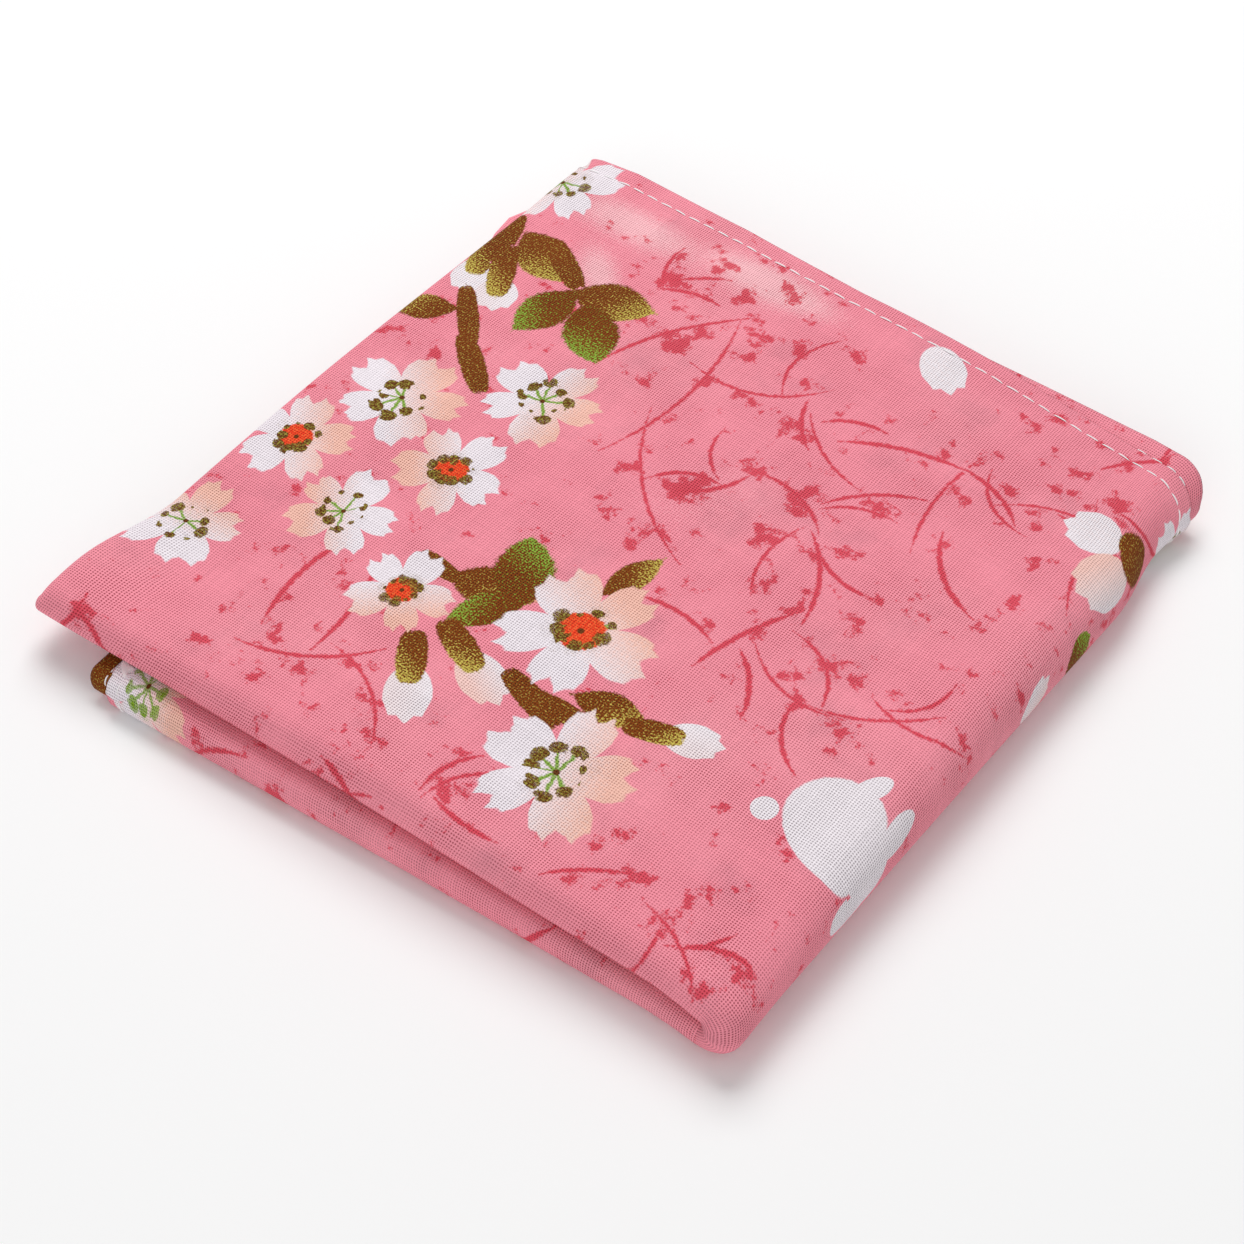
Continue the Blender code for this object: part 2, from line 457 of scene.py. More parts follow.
def folded(flat):
    """Takes points of the flat cloth, with their height above its printed face, into the pad."""
    points = fold(flat, 1, FIRST_LINE, -1, PLY, DOUBLE - 2 * PLY)
    points = fold(points, 0, SECOND_LINE, 1, STACK_ONE)
    points = fold(points, 1, THIRD_LINE, -1, STACK_TWO, square=THIRD_FOLD_SQUARE)
    points = fold(points, 0, LAST_LINE, 1, STACK_FOUR, square=LAST_FOLD_SQUARE)
    return pressed(slipped(points))


def stations(stops):
    """Grid positions along one side of the sheet, from (position, step to it in mm) pairs."""
    places = [stops[0][0]]
    for (start, _), (end, step) in zip(stops, stops[1:]):
        count = max(1, round((end - start) * 1000 / step))
        places.extend(start + (end - start) * share / count for share in range(1, count + 1))
    return np.array(places)


def cloth_grid():
    """Grid lines across the flat cloth, close together where it shows and round the folds."""
    mirror_x = 2 * SECOND_LINE + SMALL_BEND
    mirror_y = 2 * FIRST_LINE - FIRST_BEND
    xs = stations(
        [
            (0.0, 0),
            (HEM_BAND, 0.75),
            (LAST_LINE, PLAIN_STEP),
            (LAST_LINE + WIDE_BEND, 1.0),
            (SECOND_LINE, 1.4),
            (SECOND_LINE + SMALL_BEND, 0.45),
            (mirror_x - LAST_LINE - WIDE_BEND, PLAIN_STEP),
            (mirror_x - LAST_LINE, 1.5),
            (CLOTH_SIDE - HEM_BAND, PLAIN_STEP),
            (CLOTH_SIDE, 0.75),
        ]
    )
    ys = stations(
        [
            (-HALF_SIDE, 0),
            (-HALF_SIDE + HEM_BAND, 0.75),
            (mirror_y - THIRD_LINE, PLAIN_STEP),
            (mirror_y - THIRD_LINE + MIDDLE_BEND, 0.8),
            (FIRST_LINE - FIRST_BEND, PLAIN_STEP),
            (FIRST_LINE, 0.35),
            (THIRD_LINE - MIDDLE_BEND, PLAIN_STEP),
            (THIRD_LINE, 0.6),
            (HALF_SIDE - HEM_BAND, 1.4),
            (HALF_SIDE, 0.6),
        ]
    )
    return np.meshgrid(xs, ys, indexing="ij")


def wavered(x, y):
    """Lets the hemmed edges waver in the plane of the cloth, fading over a quarter panel."""
    fade = PANEL / 4
    near_start = np.clip(1 - x / fade, 0, 1)
    near_end = np.clip(1 - (CLOTH_SIDE - x) / fade, 0, 1)
    near_top = np.clip(1 - (HALF_SIDE - y) / fade, 0, 1)
    near_foot = np.clip(1 - (HALF_SIDE + y) / fade, 0, 1)
    wave_x = (near_start + near_end) * np.sin(x * 9.0 + y / 0.021)
    wave_y = near_top * (np.sin(x / 0.034) + 0.5 * np.sin(x / 0.013 + 1.0))
    wave_y += near_foot * (np.sin(x / 0.041 + 2.0) + 0.5 * np.sin(x / 0.015))
    along = x * 1000
    run_a = np.interp(along, HEM_RUNS["x"], HEM_RUNS["ply_a"]) * near_top**2
    run_b = np.interp(along, HEM_RUNS["x"], HEM_RUNS["ply_b"]) * near_foot**2
    short = np.exp(-(((y - SHORT_END_MIDDLE) / SHORT_END_REACH) ** 2)) * near_start**2
    other = np.exp(-(((np.abs(y) - SHORT_END_MIDDLE) / SHORT_END_REACH) ** 2)) * near_end**2
    out_x = x + EDGE_WAVER * wave_x + SHORT_END * short - OTHER_END * other
    return out_x, y + EDGE_WAVER * wave_y + (run_a - run_b) / 1000


def edge_inset(x, y):
    """How far a place on the flat cloth lies in from its nearest edge."""
    return np.minimum.reduce([x, CLOTH_SIDE - x, HALF_SIDE - y, HALF_SIDE + y])


def hem_height(x, y):
    """How far the turned hem lifts the wrong side: full to its edge, then a soft step."""
    return HEM_FULLNESS * eased((HEM_WIDTH - edge_inset(x, y)) / HEM_SLOPE)


def stitch_pull(x, y):
    """How deep the seam pulls the printed face in: a bell across the seam, waving along it."""
    across = (edge_inset(x, y) - STITCH_INSET) / PUCKER_REACH
    along = 0.6 + 0.4 * np.sin((x + y) / PUCKER_WAVE)
    return PUCKER * along * np.exp(-across * across)


def piece_from(name, points, faces, material):
    """A smooth-shaded piece at the origin, with its place in its mesh."""
    mesh = bpy.data.meshes.new(name)
    mesh.from_pydata(points, [], faces)
    mesh.shade_smooth()
    mesh.materials.append(material)
    piece = bpy.data.objects.new(name, mesh)
    bpy.context.scene.collection.objects.link(piece)
    return piece


def faces_of(columns, rows):
    """Quads of both faces of a sheet and of the rim between them, pointing outwards."""
    index = np.arange(columns * rows).reshape(columns, rows)
    a, b = index[:-1, :-1].ravel(), index[1:, :-1].ravel()
    c, d = index[1:, 1:].ravel(), index[:-1, 1:].ravel()
    above = columns * rows
    lower = np.stack([a, d, c, b], 1)
    upper = np.stack([a, b, c, d], 1) + above
    loop = np.concatenate([index[:-1, 0], index[-1, :-1], index[:0:-1, -1], index[0, :0:-1]])
    after = np.roll(loop, -1)
    rim = np.stack([loop, after, after + above, loop + above], 1)
    return np.concatenate([lower, upper, rim])


def linear(hex_colour):
    """An sRGB hex value as linear red, green, blue and alpha."""
    parts = [int(hex_colour[place : place + 2], 16) / 255 for place in (1, 3, 5)]
    hole_shade, light = [part / 12.92 for part in parts], [((part + 0.055) / 1.055) ** 2.4 for part in parts]
    return [low if part <= 0.04045 else high for part, low, high in zip(parts, hole_shade, light)] + [1.0]


def motif_frame(row, corners):
    """Each face corner in a motif's own frame, in mm, for the repeat nearest to the face.

    The face's middle picks the column and the row of the repeat. The corners then lie at
    their offset from that motif's middle, turned back by its heading.
    """
    middle = corners.mean(axis=1)
    repeats = row["x"] > FIRST_REPEAT
    column = np.round((middle[:, 0] - row["x"]) / REPEAT_X) * repeats
    rise = middle[:, 1] - row["y"] - column * DROP
    line = np.round(rise / REPEAT_Y) * repeats
    across = corners[:, :, 0] - (row["x"] + column * REPEAT_X)[:, None]
    up = corners[:, :, 1] - (row["y"] + column * DROP + line * REPEAT_Y)[:, None]
    turn = math.radians(row["heading"])
    along = across * math.cos(turn) + up * math.sin(turn)
    beside = up * math.cos(turn) - across * math.sin(turn)
    return along, beside


def nearest(values, scores):
    """Of each face's candidates, the two with the lowest scores, the later in its table first.

    The table's order decides which of two that overlap lies on top, all over both of them.
    """
    order = np.sort(np.argsort(scores, axis=0)[:2], axis=0)[::-1]
    picked = np.take_along_axis(values, order[:, :, None, None], axis=0)
    return picked[0], picked[1]


def away_from(x, y, heading, distance):
    """The place at a distance from another one, on a heading."""
    turn = math.radians(heading)
    return x + distance * math.cos(turn), y + distance * math.sin(turn)


def blossoms():
    """The blossoms, each at its own place. Neighbours lie half of both widths and a gap apart."""
    rows = []
    for place, cluster in CLUSTERS.items():
        placed = []
        for row in rows_of(BLOSSOM_COLUMNS, cluster):
            row["x"], row["y"] = place
            if placed:
                other = placed[row["off"]]
                apart = (other["width"] + row["width"]) / 2 + row["gap"]
                row["x"], row["y"] = away_from(other["x"], other["y"], row["way"], apart)
            placed.append(row)
        rows.extend(placed)
    return rows


def leaf_patches():
    """Leaves, twigs and cups as patches, each from its middle. A twig's sides are straight."""
    rows = []
    for x, y, heading, length, width, belly, tone in LEAVES:
        rows.append((*away_from(x, y, heading, length / 2), length, width, heading, belly, tone))
    for x, y, end_x, end_y, width in TWIGS:
        heading = math.degrees(math.atan2(end_y - y, end_x - x))
        length = math.hypot(end_x - x, end_y - y)
        rows.append(((x + end_x) / 2, (y + end_y) / 2, length, width, heading, 0.2, 0))
    for x, y, heading, cup, _, width, _ in BUDS:
        rows.append((*away_from(x, y, heading, cup / 2), cup, CUP_WIDTH * width, heading, 0.2, 1))
    return rows


def oval_patches():
    """Buds, petals and the rabbit as patches. A bud stands in its cup by CUP_OVERLAP of it."""
    rows = []
    for x, y, heading, cup, length, width, blush in BUDS:
        middle = away_from(x, y, heading, CUP_OVERLAP * cup + length / 2)
        rows.append((*middle, length, width, heading, blush, 1))
    for x, y, heading, length, width, blush in PETALS:
        rows.append((x, y, length, width, heading, blush, 1))
    for x, y, heading, length, width in RABBIT:
        rows.append((RABBIT_AT[0] + x, RABBIT_AT[1] + y, length, width, heading, 0, 0))
    return rows


def fibre_arcs():
    """The fibres as shallow arcs: the chord's middle, length and heading, the bow and width.

    The first of a spray is its stem. Each other blade starts a little off it, anywhere along
    most of it, turns to either side in turn by 20 to 75 degrees, and is half to all of its
    length. Each bows to a random side by a twentieth to a fifth of its length.
    """
    chance = np.random.default_rng(FIBRE_SEED)
    rows = []
    for x, y, heading, length, blades in SPRAYS:
        for blade in range(blades):
            reach, at, turned = length, (x, y), heading
            if blade:
                reach = length * chance.uniform(0.5, 1.0)
                at = away_from(x, y, heading, length * chance.uniform(-0.3, 0.8))
                at = away_from(*at, heading + 90, chance.uniform(-3, 3))
                turned = heading + (-1) ** blade * chance.uniform(20, 75) * (1 + blade // 3)
            bow = reach * chance.uniform(0.05, 0.20) * chance.choice((-1, 1))
            middle = away_from(*at, turned, reach / 2)
            rows.append((*middle, reach, turned, bow, chance.uniform(0.55, 0.95)))
    return rows


def blossom_values(corners):
    """Per corner: place in blossom radii, and share towards the blush, heart kind and seed."""
    places, hearts, scores = [], [], []
    for number, row in enumerate(blossoms()):
        row["heading"] = row["petal"]
        along, beside = motif_frame(row, corners)
        along, beside = along * 2 / row["width"], beside * 2 / row["width"]
        turn = math.radians(row["blush"] - row["petal"])
        blush = along * math.cos(turn) + beside * math.sin(turn)
        ones = np.ones_like(along)
        places.append(np.stack([along, beside, 0 * ones], 2))
        hearts.append(np.stack([blush, row["heart"] * ones, number * ones], 2))
        scores.append(np.hypot(along.mean(axis=1), beside.mean(axis=1)))
    best = np.argmin(scores, axis=0)[None, :, None, None]
    return [np.take_along_axis(np.array(values), best, axis=0)[0] for values in (places, hearts)]


def patch_values(rows, columns, corners, kind, share):
    """Per corner, for the two nearest patches: place in half sizes, and the patch's code.

    The code is the patch's kind, a whole number, plus its share, which is below 1. An oval's
    kind counts double, so that its share may reach 1.
    """
    step = 2 if kind == "notched" else 1
    values, scores = [], []
    for row in rows_of(columns, rows):
        along, beside = motif_frame(row, corners)
        along, beside = along * 2 / row["length"], beside * 2 / row["width"]
        values.append(np.stack([along, beside, np.full_like(along, step * row[kind] + row[share])], 2))
        scores.append(np.hypot(along.mean(axis=1), beside.mean(axis=1)))
    return nearest(np.array(values), np.array(scores))


def fibre_values(corners):
    """Per corner, for the two nearest fibres: distance from the arc, share along, half width.

    The arc is a parabola over its chord: its height is the bow times one less the square of
    the share along the half chord.
    """
    values, scores = [], []
    for row in rows_of(FIBRE_COLUMNS, fibre_arcs()):
        along, beside = motif_frame(row, corners)
        share = along * 2 / row["length"]
        off = beside - row["bow"] * (1 - share * share)
        values.append(np.stack([off, share, np.full_like(off, row["width"] / 2)], 2))
        past = np.maximum(np.abs(along.mean(axis=1)) - row["length"] / 2, 0)
        scores.append(np.abs(off.mean(axis=1)) + past)
    return nearest(np.array(values), np.array(scores))


def haze_values(corners):
    """Per corner, how deep it lies in a haze: the highest of their bells."""
    depth = np.zeros(corners.shape[:2])
    for row in rows_of(HAZE_COLUMNS, HAZES):
        along, beside = motif_frame(row, corners)
        reach = (along * 2 / row["length"]) ** 2 + (beside * 2 / row["width"]) ** 2
        depth = np.maximum(depth, np.exp(-1.2 * reach))
    return depth


def blot_values(corners):
    """Per corner, how deep it lies in a crowd of blots: a bell round each spray's fork."""
    depth = np.zeros(corners.shape[:2])
    for row in rows_of(SPRAY_COLUMNS, SPRAYS):
        along, beside = motif_frame(row, corners)
        depth = np.maximum(depth, np.exp(-4 * (along**2 + beside**2) / row["length"] ** 2))
    return depth


def write_print(mesh, flat):
    """Puts the flat place and the motif values on the face corners of the cloth.

    flat holds the flat place of each point, for the printed face and then the wrong one. On
    the wrong side only the turned hem shows the full print, and the rest is seen through.
    """
    loops = np.empty(len(mesh.loops), dtype=np.int32)
    mesh.loops.foreach_get("vertex_index", loops)
    place = flat[loops]
    layer = mesh.uv_layers.new(name="flat")
    layer.uv.foreach_set("vector", (place + (0, HALF_SIDE)).astype(np.float32).ravel())
    inset = edge_inset(place[:, 0], place[:, 1])
    corners = place.reshape(-1, 4, 2) * 1000
    blossom, heart = blossom_values(corners)
    leaf_a, leaf_b = patch_values(leaf_patches(), LEAF_PATCH, corners, "tone", "belly")
    oval_a, oval_b = patch_values(oval_patches(), OVAL_PATCH, corners, "notched", "blush")
    fibre_a, fibre_b = fibre_values(corners)
    named = {
        "behind": (loops >= len(flat) // 2) * np.clip((inset - HEM_WIDTH) / BEHIND_EDGE, 0, 1),
        "haze": haze_values(corners),
        "crowd": blot_values(corners),
        "blossom": blossom,
        "heart": heart,
        "leaf_a": leaf_a,
        "leaf_b": leaf_b,
        "oval_a": oval_a,
        "oval_b": oval_b,
        "fibre_a": fibre_a,
        "fibre_b": fibre_b,
    }
    for name, values in named.items():
        kind, field = ("FLOAT_VECTOR", "vector") if values.ndim == 3 else ("FLOAT", "value")
        attribute = mesh.attributes.new(name, kind, "CORNER")
        attribute.data.foreach_set(field, values.astype(np.float32).ravel())


def add(tree, kind, inputs=(), **settings):
    """Adds a node, with its settings, and with a value, a socket or a node for each input.

    kind is a type of node, or an operation of the maths node. The inputs are given in their
    order, or as a dictionary by place or name.
    """
    if not kind.startswith("ShaderNode"):
        kind, settings["operation"] = "ShaderNodeMath", kind
    made = tree.nodes.new(kind)
    for name, setting in settings.items():
        setattr(made, name, setting)
    for place, value in inputs.items() if isinstance(inputs, dict) else enumerate(inputs):
        if isinstance(value, bpy.types.Node):
            value = next(output for output in value.outputs if output.enabled)
        if isinstance(value, bpy.types.NodeSocket):
            tree.links.new(value, made.inputs[place])
        else:
            made.inputs[place].default_value = value
    return made


VECTOR = "ShaderNodeVectorMath"
MIX = "ShaderNodeMix"
NOISE = "ShaderNodeTexNoise"
RANGE = "ShaderNodeMapRange"
SPLIT = "ShaderNodeSeparateXYZ"
GIVEN = "ShaderNodeAttribute"
FACTOR, FIRST, SECOND = 0, 6, 7
RGBA = {"data_type": "RGBA"}


def print_fields(tree):
    """The cloth's flat place in mm, and the noises that tones and edges share, by name."""
    flat = add(tree, "ShaderNodeUVMap", uv_map="flat")
    mm = add(tree, VECTOR, {0: flat, "Scale": 1000.0}, operation="SCALE")
    fields = {"mm": mm}
    for name, (scale, detail, roughness) in NOISES.items():
        inputs = {"Vector": mm, "Scale": scale, "Detail": detail, "Roughness": roughness}
        fields[name] = add(tree, NOISE, inputs)
    for name, source in CENTRED.items():
        fields[name] = add(tree, "SUBTRACT", (fields[source], 0.5))
    return fields


def print_ground(tree, fields):
    """The ground: pink, with paler clouds and hazes. Faint grey patches are the dark parts of
    the print on the plies below, seen through thin cotton."""
    pale = add(tree, RANGE, (fields["clouds"], 0.45, 0.75, 0.0, 0.45))
    ground = add(tree, MIX, {FACTOR: pale, FIRST: linear("#F695A5"), SECOND: linear("#FAA9B4")}, **RGBA)

    haze = add(tree, GIVEN, attribute_name="haze")
    haze = add(tree, "MULTIPLY_ADD", (fields["bleed"], 1.0, haze.outputs["Fac"]))
    haze = add(tree, "MULTIPLY_ADD", (fields["crowds"], 1.2, haze))
    haze = add(tree, RANGE, (haze, 0.85, 1.5, 0.0, 0.6))
    ground = add(tree, MIX, {FACTOR: haze, FIRST: ground, SECOND: linear("#FDD3D6")}, **RGBA)
    ghosts = add(tree, NOISE, {"Vector": fields["mm"], "Scale": 0.07, "Detail": 4.0, "Roughness": 0.6})
    ghosts = add(tree, RANGE, (ghosts, 0.56, 0.70, 0.0, 0.22))
    return add(tree, MIX, {FACTOR: ghosts, FIRST: ground, SECOND: linear("#B4707F")}, **RGBA)


def print_reds(tree, fields, colour):
    """Fibres and blots in red. A fibre is ink within the half width of its arc, thinner to
    its ends, with a broken edge. Blots are ragged patches that crowd round the sprays and
    keep mostly near the fibres."""
    inked = None
    nearby = None
    for name in ("fibre_a", "fibre_b"):
        given = add(tree, GIVEN, attribute_name=name)
        parts = add(tree, SPLIT, (given.outputs["Vector"],))
        off = add(tree, "ABSOLUTE", (parts.outputs[0],))
        share = add(tree, "ABSOLUTE", (parts.outputs[1],))
        taper = add(tree, RANGE, (share, 1.0, 0.55, 0.15, 1.0))
        reach = add(tree, "MULTIPLY", (parts.outputs[2], taper))
        frayed = add(tree, "MULTIPLY_ADD", (fields["waver"], 0.9, reach))
        frayed = add(tree, "MULTIPLY_ADD", (fields["bleed"], 0.8, frayed))
        short = add(tree, "SUBTRACT", (frayed, off))
        line = add(tree, RANGE, (short, -0.16, 0.16))
        ended = add(tree, "LESS_THAN", (share, 1.0))
        line = add(tree, "MULTIPLY", (line, ended))
        near = add(tree, RANGE, (off, 7.0, 0.0))
        beside = add(tree, RANGE, (share, 1.5, 0.9))
        near = add(tree, "MULTIPLY", (near, beside))
        inked = line if inked is None else add(tree, "MAXIMUM", (inked, line))
        nearby = near if nearby is None else add(tree, "MAXIMUM", (nearby, near))
    crowd = add(tree, GIVEN, attribute_name="crowd")
    spread = add(tree, "MULTIPLY_ADD", (nearby, 0.03, fields["blots"]))
    spread = add(tree, "MULTIPLY_ADD", (crowd.outputs["Fac"], 0.055, spread))
    spread = add(tree, "MULTIPLY_ADD", (fields["crowds"], 0.12, spread))
    spread = add(tree, "MULTIPLY_ADD", (fields["bleed"], 0.18, spread))
    blotted = add(tree, RANGE, (spread, 0.668, 0.715, 0.0, 0.95))
    red = add(tree, "MAXIMUM", (inked, blotted))
    red = add(tree, "MULTIPLY", (red, 0.9))
    return add(tree, MIX, {FACTOR: red, FIRST: colour, SECOND: linear("#DC3F52")}, **RGBA)


def print_ovals(tree, fields, colour):
    """Buds, loose petals and the rabbit: ovals, some of them with a notch in the tip."""
    for name in ("oval_b", "oval_a"):
        given = add(tree, GIVEN, attribute_name=name)
        parts = add(tree, SPLIT, (given.outputs["Vector"],))
        notched = add(tree, "GREATER_THAN", (parts.outputs[2], 1.5))
        blush = add(tree, "MODULO", (parts.outputs[2], 2.0))
        round_off = add(tree, "MULTIPLY", (parts.outputs[0], parts.outputs[0]))
        round_off = add(tree, "MULTIPLY_ADD", (parts.outputs[1], parts.outputs[1], round_off))
        radius = add(tree, "SQRT", (round_off,))
        notch = add(tree, "PINGPONG", (parts.outputs[1], 0.34))
        tip = add(tree, RANGE, (parts.outputs[0], 0.2, 0.6, 0.0, 0.6))
        notch = add(tree, "MULTIPLY", (notch, tip))
        radius = add(tree, "MULTIPLY_ADD", (notch, notched, radius))
        radius = add(tree, "MULTIPLY_ADD", (fields["waver"], 0.08, radius))
        inside = add(tree, RANGE, (radius, 1.02, 0.97))
        warm = add(tree, "MULTIPLY_ADD", (fields["bleed"], 0.7, parts.outputs[1]))
        warm = add(tree, RANGE, (warm, -1.0, 0.6))
        warm = add(tree, "MULTIPLY", (warm, blush))
        petal = add(tree, MIX, {FACTOR: warm, FIRST: linear("#F3EBF0"), SECOND: linear("#F6C6BA")}, **RGBA)
        colour = add(tree, MIX, {FACTOR: inside, FIRST: colour, SECOND: petal}, **RGBA)
    return colour


def print_leaves(tree, fields, colour):
    """Leaves and twigs: brown, with a stippled run into gold or green at the tip."""
    for name in ("leaf_b", "leaf_a"):
        given = add(tree, GIVEN, attribute_name=name)
        parts = add(tree, SPLIT, (given.outputs["Vector"],))
        belly = add(tree, "FRACT", (parts.outputs[2],))
        tone = add(tree, "FLOOR", (parts.outputs[2],))
        ends = add(tree, "MULTIPLY", (parts.outputs[0], parts.outputs[0]))
        ends = add(tree, "SUBTRACT", (1.0, ends), use_clamp=True)
        belly = add(tree, "MULTIPLY", (belly, 1.35))
        half = add(tree, "POWER", (ends, belly))
        side = add(tree, "ABSOLUTE", (parts.outputs[1],))
        beyond = add(tree, "SUBTRACT", (side, half))
        length = add(tree, "ABSOLUTE", (parts.outputs[0],))
        length = add(tree, "SUBTRACT", (length, 1.0))
        beyond = add(tree, "MAXIMUM", (beyond, length))
        beyond = add(tree, "MULTIPLY_ADD", (fields["waver"], 0.3, beyond))
        beyond = add(tree, "MULTIPLY_ADD", (fields["bleed"], 0.35, beyond))
        inside = add(tree, RANGE, (beyond, 0.06, -0.06))
        brown = add(tree, "COMPARE", (tone, 0.0, 0.1))
        green = add(tree, "COMPARE", (tone, 2.0, 0.1))
        ripe = add(tree, "MULTIPLY_ADD", (parts.outputs[1], 0.55, parts.outputs[0]))
        ripe = add(tree, "MULTIPLY_ADD", (brown, -1.1, ripe))
        ripe = add(tree, "MULTIPLY_ADD", (fields["stipple"], 6.0, ripe))
        ripe = add(tree, RANGE, (ripe, 0.15, 1.15))
        fleck = add(tree, RANGE, (fields["fine"], 0.56, 0.66, 0.0, 0.55))
        ripe = add(tree, "MAXIMUM", (ripe, fleck))
        tip = add(tree, MIX, {FACTOR: green, FIRST: linear("#CDBA58"), SECOND: linear("#8DB03E")}, **RGBA)
        leaf = add(tree, MIX, {FACTOR: ripe, FIRST: linear("#7E3C08"), SECOND: tip}, **RGBA)
        colour = add(tree, MIX, {FACTOR: inside, FIRST: colour, SECOND: leaf}, **RGBA)
    return colour


def print_heart(tree, fields, petal, angle, radius, heart):
    """A blossom's heart over its petals: a red disc in some, green filaments in others, and
    brown-and-gold anthers at uneven distances round it, at most one in each ninth of the turn."""
    _, kind, seed = heart.outputs
    red_heart = add(tree, "COMPARE", (kind, 1.0, 0.1))
    green_heart = add(tree, "COMPARE", (kind, 2.0, 0.1))
    bent = add(tree, "MULTIPLY_ADD", (fields["waver"], 0.5, angle))
    ninth = add(tree, "MULTIPLY_ADD", (bent, 9 / math.tau, seed))
    number = add(tree, "FLOOR", (ninth,))
    number = add(tree, "MULTIPLY_ADD", (seed, 17.0, number))
    chance = add(tree, "ShaderNodeTexWhiteNoise", {"W": number}, noise_dimensions="1D")
    beside = add(tree, "FRACT", (ninth,))
    beside = add(tree, "SUBTRACT", (beside, 0.5))
    beside = add(tree, "MULTIPLY", (beside, radius))
    beside = add(tree, "MULTIPLY", (beside, math.tau / 9))
    beside = add(tree, "ABSOLUTE", (beside,))
    ring = add(tree, "MULTIPLY_ADD", (chance, 0.17, 0.29))
    ring = add(tree, "MULTIPLY_ADD", (red_heart, -0.07, ring))
    other = add(tree, SPLIT, (chance.outputs["Color"],))
    size = add(tree, RANGE, (other.outputs[1], 0.36, 0.42, 0.01, 0.07))
    size = add(tree, "MULTIPLY_ADD", (other.outputs[2], 0.045, size))
    size = add(tree, "MULTIPLY_ADD", (red_heart, 0.02, size))
    out = add(tree, "SUBTRACT", (radius, ring))
    out = add(tree, "DIVIDE", (out, size))
    wide = add(tree, "DIVIDE", (beside, size))
    out = add(tree, "MULTIPLY", (out, out))
    wide = add(tree, "MULTIPLY", (wide, wide))
    around = add(tree, "MULTIPLY_ADD", (wide, 0.6, out))
    around = add(tree, "MULTIPLY_ADD", (fields["waver"], 1.5, around))
    anther = add(tree, RANGE, (around, 1.1, 0.8))
    short = add(tree, "LESS_THAN", (radius, ring))
    thread = add(tree, RANGE, (beside, 0.035, 0.015))
    thread = add(tree, "MULTIPLY", (thread, short))
    kept = add(tree, "GREATER_THAN", (other.outputs[1], 0.36))
    thread = add(tree, "MULTIPLY", (thread, kept))
    disc = add(tree, "MULTIPLY_ADD", (fields["waver"], 0.15, radius))
    disc = add(tree, RANGE, (disc, 0.31, 0.28))
    disc = add(tree, "MULTIPLY", (disc, red_heart))
    spot = add(tree, RANGE, (radius, 0.055, 0.035))
    gilt = add(tree, RANGE, (fields["grain"], 0.45, 0.65))
    knob = add(tree, MIX, {FACTOR: gilt, FIRST: linear("#6B3A12"), SECOND: linear("#A39B42")}, **RGBA)
    ember = add(tree, MIX, {FACTOR: gilt, FIRST: linear("#EE3F1E"), SECOND: linear("#F76F3C")}, **RGBA)
    knob = add(tree, MIX, {FACTOR: green_heart, FIRST: knob, SECOND: linear("#84A62C")}, **RGBA)
    petal = add(tree, MIX, {FACTOR: thread, FIRST: petal, SECOND: linear("#8CAE48")}, **RGBA)
    petal = add(tree, MIX, {FACTOR: disc, FIRST: petal, SECOND: ember}, **RGBA)
    petal = add(tree, MIX, {FACTOR: anther, FIRST: petal, SECOND: knob}, **RGBA)
    return add(tree, MIX, {FACTOR: spot, FIRST: petal, SECOND: linear("#6B3A12")}, **RGBA)


def print_blossoms(tree, fields, colour):
    """Blossoms: five broad petals round the centre. The outline's radius follows the angle
    from the nearest petal's middle, with a notch in the tip and a gap between petals."""
    given = add(tree, GIVEN, attribute_name="blossom")
    heart = add(tree, SPLIT, (add(tree, GIVEN, attribute_name="heart").outputs["Vector"],))
    blush, _, seed = heart.outputs
    parts = add(tree, SPLIT, (given.outputs["Vector"],))
    radius = add(tree, VECTOR, (given.outputs["Vector"],), operation="LENGTH")
    radius = radius.outputs["Value"]
    angle = add(tree, "ARCTAN2", (parts.outputs[1], parts.outputs[0]))
    turned = add(tree, "MULTIPLY_ADD", (angle, 2.0, seed))
    turned = add(tree, "SINE", (turned,))
    turned = add(tree, "MULTIPLY_ADD", (turned, 0.10, angle))
    aside = add(tree, "PINGPONG", (turned, math.pi / 5))
    aside = add(tree, "DIVIDE", (aside, math.pi / 5))
    outline = add(tree, "ShaderNodeFloatCurve", {"Value": aside})
    curve = outline.mapping.curves[0]
    curve.points[0].location, curve.points[1].location = PETAL_SHAPE[0], PETAL_SHAPE[-1]
    for point in PETAL_SHAPE[1:-1]:
        curve.points.new(*point)
    for point in curve.points:
        point.handle_type = "VECTOR"
    outline.mapping.update()
    uneven = add(tree, "MULTIPLY_ADD", (angle, 3.0, seed))
    uneven = add(tree, "SINE", (uneven,))
    past = add(tree, "SUBTRACT", (radius, outline))
    past = add(tree, "MULTIPLY_ADD", (uneven, 0.04, past))
    past = add(tree, "MULTIPLY_ADD", (fields["waver"], 0.08, past))
    inside = add(tree, RANGE, (past, 0.02, -0.02))
    warm = add(tree, "MULTIPLY_ADD", (fields["bleed"], 0.9, blush))
    warm = add(tree, RANGE, (warm, -0.25, 0.65))
    petal = add(tree, MIX, {FACTOR: warm, FIRST: linear("#F3EAF0"), SECOND: linear("#F6C2B2")}, **RGBA)
    petal = print_heart(tree, fields, petal, angle, radius, heart)
    return add(tree, MIX, {FACTOR: inside, FIRST: colour, SECOND: petal}, **RGBA)


